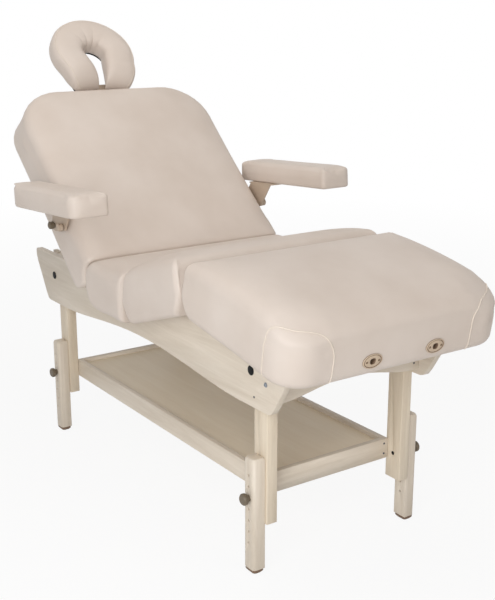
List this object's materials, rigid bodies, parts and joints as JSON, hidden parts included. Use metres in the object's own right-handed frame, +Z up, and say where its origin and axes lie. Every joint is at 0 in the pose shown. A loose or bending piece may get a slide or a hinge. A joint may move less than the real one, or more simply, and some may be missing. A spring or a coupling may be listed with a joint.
{
  "type": "massage table",
  "caption": "Wooden massage table with a tilting back, a knee lift, side armrests, a plug-in face rest, telescoping legs and a lower shelf.",
  "frame": {"origin": "on the floor under the middle of the outer box, with the back and knee raised as in the picture", "axes": "+X from the head end to the foot end, +Y across the table, +Z up"},
  "size_m": [2.1026, 1.174, 1.656],
  "materials": {
    "wood": "satin clear varnish",
    "ply": "raw plywood",
    "cream": "soft grained vinyl",
    "steel": "zinc plated",
    "black": "matte black",
    "grey": "moulded, satin",
    "tan": "moulded, satin",
    "brown": "matte"
  },
  "bodies": {
    "frame": {"side_rail_left": "wood", "side_rail_right": "wood", "head_apron": "wood", "foot_apron": "wood", "leg_post_head_left": "wood", "leg_post_head_right": "wood", "leg_post_foot_left": "wood", "leg_post_foot_right": "wood", "leg_bolt_cap_head_left": "black", "leg_bolt_cap_head_right": "black", "leg_bolt_cap_foot_left": "black", "leg_bolt_cap_foot_right": "black", "shelf_frame": "wood", "shelf_panel": "wood", "prop_rack": "wood", "rocker_axle": "steel", "seat_deck": "ply", "seat_cushion": "cream", "back_hinge_seat_leaf": "steel", "thigh_hinge_seat_leaf": "steel"},
    "back": {"back_deck": "ply", "back_cushion": "cream", "back_hinge_back_leaf": "steel", "head_socket_block": "ply", "prop_pivot_bar": "steel"},
    "prop": {"back_prop": "steel"},
    "thigh": {"thigh_deck": "ply", "thigh_cushion": "cream", "thigh_hinge_thigh_leaf": "steel", "knee_hinge_thigh_leaf": "steel"},
    "leg": {"leg_deck": "ply", "leg_cushion": "cream", "knee_hinge_leg_leaf": "steel", "leg_fork": "steel", "foot_grommet_left": "tan", "foot_grommet_right": "tan"},
    "rocker": {"leg_rocker": "steel"},
    "face_slide_frame": {"face_frame": "steel"},
    "face_head": {"face_clamp": "black", "face_platform": "black", "face_cushion": "cream"},
    "slider_head_left": {"leg_slider_head_left": "wood", "glide_head_left": "brown"},
    "knob_head_left": {"leg_knob_head_left": "grey"},
    "slider_head_right": {"leg_slider_head_right": "wood", "glide_head_right": "brown"},
    "knob_head_right": {"leg_knob_head_right": "grey"},
    "slider_foot_left": {"leg_slider_foot_left": "wood", "glide_foot_left": "brown"},
    "knob_foot_left": {"leg_knob_foot_left": "grey"},
    "slider_foot_right": {"leg_slider_foot_right": "wood", "glide_foot_right": "brown"},
    "knob_foot_right": {"leg_knob_foot_right": "grey"},
    "armrest_left": {"armrest_bracket_left": "grey", "armrest_pad_left": "cream"},
    "armrest_clamp_left": {"armrest_knob_left": "grey"},
    "armrest_right": {"armrest_bracket_right": "grey", "armrest_pad_right": "cream"},
    "armrest_clamp_right": {"armrest_knob_right": "grey"}
  },
  "joints": [
    {"name": "back_tilt", "type": "hinge", "parent": "frame", "child": "back", "pos_m": [-0.1904, 0, 0.739], "axis": [0, 1, 0], "range_deg": [-42, 3]},
    {"name": "prop_swing", "type": "hinge", "parent": "back", "child": "prop", "pos_m": [-0.42078, 0, 0.94643], "axis": [0, 1, 0], "range_deg": [-7, 85]},
    {"name": "thigh_lift", "type": "hinge", "parent": "frame", "child": "thigh", "pos_m": [0.0896, 0, 0.739], "axis": [0, -1, 0], "range_deg": [-18.5, 5.5]},
    {"name": "leg_bend", "type": "hinge", "parent": "thigh", "child": "leg", "pos_m": [0.47841, 0, 0.86909], "axis": [0, 1, 0], "range_deg": [-28.6, 8.57]},
    {"name": "rocker_swing", "type": "hinge", "parent": "frame", "child": "rocker", "pos_m": [0.7306, 0, 0.691], "axis": [0, -1, 0], "range_deg": [-34.14, 10.22]},
    {"name": "face_slide", "type": "slide", "parent": "back", "child": "face_slide_frame", "axis": [-0.7431, 0, 0.6691], "range_m": [0, 0.08]},
    {"name": "face_tilt", "type": "hinge", "parent": "face_slide_frame", "child": "face_head", "pos_m": [-0.89521, 0, 1.33862], "axis": [0, 1, 0], "range_deg": [-35, 2]},
    {"name": "height_head_left", "type": "slide", "parent": "frame", "child": "slider_head_left", "axis": [0, 0, 1], "range_m": [-0.0762, 0.1524]},
    {"name": "leg_knob_turn_head_left", "type": "hinge", "parent": "frame", "child": "knob_head_left", "pos_m": [-0.6654, 0, 0.2555], "axis": [0, 1, 0], "continuous": true},
    {"name": "height_head_right", "type": "slide", "parent": "frame", "child": "slider_head_right", "axis": [0, 0, 1], "range_m": [-0.0762, 0.1524]},
    {"name": "leg_knob_turn_head_right", "type": "hinge", "parent": "frame", "child": "knob_head_right", "pos_m": [-0.6654, 0, 0.2555], "axis": [0, 1, 0], "continuous": true},
    {"name": "height_foot_left", "type": "slide", "parent": "frame", "child": "slider_foot_left", "axis": [0, 0, 1], "range_m": [-0.0762, 0.1524]},
    {"name": "leg_knob_turn_foot_left", "type": "hinge", "parent": "frame", "child": "knob_foot_left", "pos_m": [0.7346, 0, 0.2555], "axis": [0, 1, 0], "continuous": true},
    {"name": "height_foot_right", "type": "slide", "parent": "frame", "child": "slider_foot_right", "axis": [0, 0, 1], "range_m": [-0.0762, 0.1524]},
    {"name": "leg_knob_turn_foot_right", "type": "hinge", "parent": "frame", "child": "knob_foot_right", "pos_m": [0.7346, 0, 0.2555], "axis": [0, 1, 0], "continuous": true},
    {"name": "armrest_tilt_left", "type": "hinge", "parent": "back", "child": "armrest_left", "pos_m": [-0.38506, 0, 0.93379], "axis": [0, 1, 0], "range_deg": [-60, 46]},
    {"name": "armrest_knob_turn_left", "type": "hinge", "parent": "back", "child": "armrest_clamp_left", "pos_m": [-0.38506, 0, 0.93379], "axis": [0, 1, 0], "continuous": true},
    {"name": "armrest_tilt_right", "type": "hinge", "parent": "back", "child": "armrest_right", "pos_m": [-0.38506, 0, 0.93379], "axis": [0, 1, 0], "range_deg": [-60, 46]},
    {"name": "armrest_knob_turn_right", "type": "hinge", "parent": "back", "child": "armrest_clamp_right", "pos_m": [-0.38506, 0, 0.93379], "axis": [0, 1, 0], "continuous": true}
  ],
  "couplings": [
    {"joint": "prop_swing", "follows": "back_tilt", "ratio": -2},
    {"joint": "leg_bend", "follows": "thigh_lift", "ratio": 1.5405},
    {"joint": "rocker_swing", "follows": "thigh_lift", "ratio": 1.84}
  ]
}
